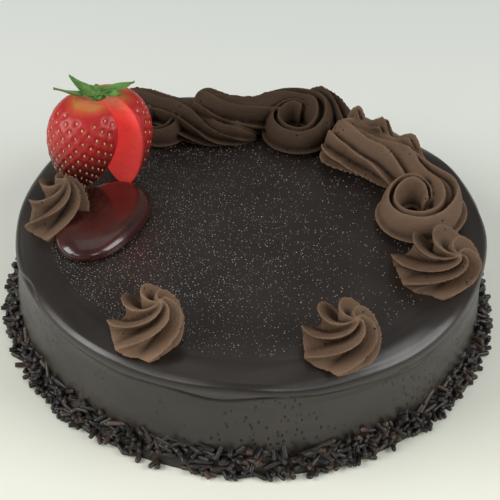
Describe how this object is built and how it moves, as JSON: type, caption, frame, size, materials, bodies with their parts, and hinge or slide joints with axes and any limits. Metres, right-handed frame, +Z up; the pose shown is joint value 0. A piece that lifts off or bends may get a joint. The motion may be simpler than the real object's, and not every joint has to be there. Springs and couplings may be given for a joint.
{
  "type": "sachertorte cake",
  "caption": "Round chocolate cake in smooth dark glaze, piped chocolate scrolls and rosettes on top, a split strawberry on jam and chocolate strands round the foot.",
  "frame": {"origin": "middle of the cake's flat underside", "axes": "+Z up through the cake, -Y towards the side that the picture shows as the front, +X to its right"},
  "size_m": [0.2163, 0.2138, 0.0965],
  "materials": {
    "chocolate_glaze": "satin chocolate glaze, near black",
    "buttercream": "matt chocolate buttercream",
    "strawberry": "fresh moist strawberry",
    "leaf": "fresh green leaf",
    "jam": "clear glossy red jam",
    "chocolate_strand": "dark chocolate strands"
  },
  "bodies": {
    "root": {"cake": "chocolate_glaze", "piped_scroll_back_left": "buttercream", "piped_scroll_back": "buttercream", "piped_scroll_right": "buttercream", "piped_swirl_end": "buttercream", "rosette_front_left": "buttercream", "rosette_front_right": "buttercream", "rosette_left": "buttercream", "strawberry_front_half": "strawberry", "strawberry_back_half": "strawberry", "strawberry_calyx": "leaf", "jam_pool": "jam"}
  },
  "joints": []
}
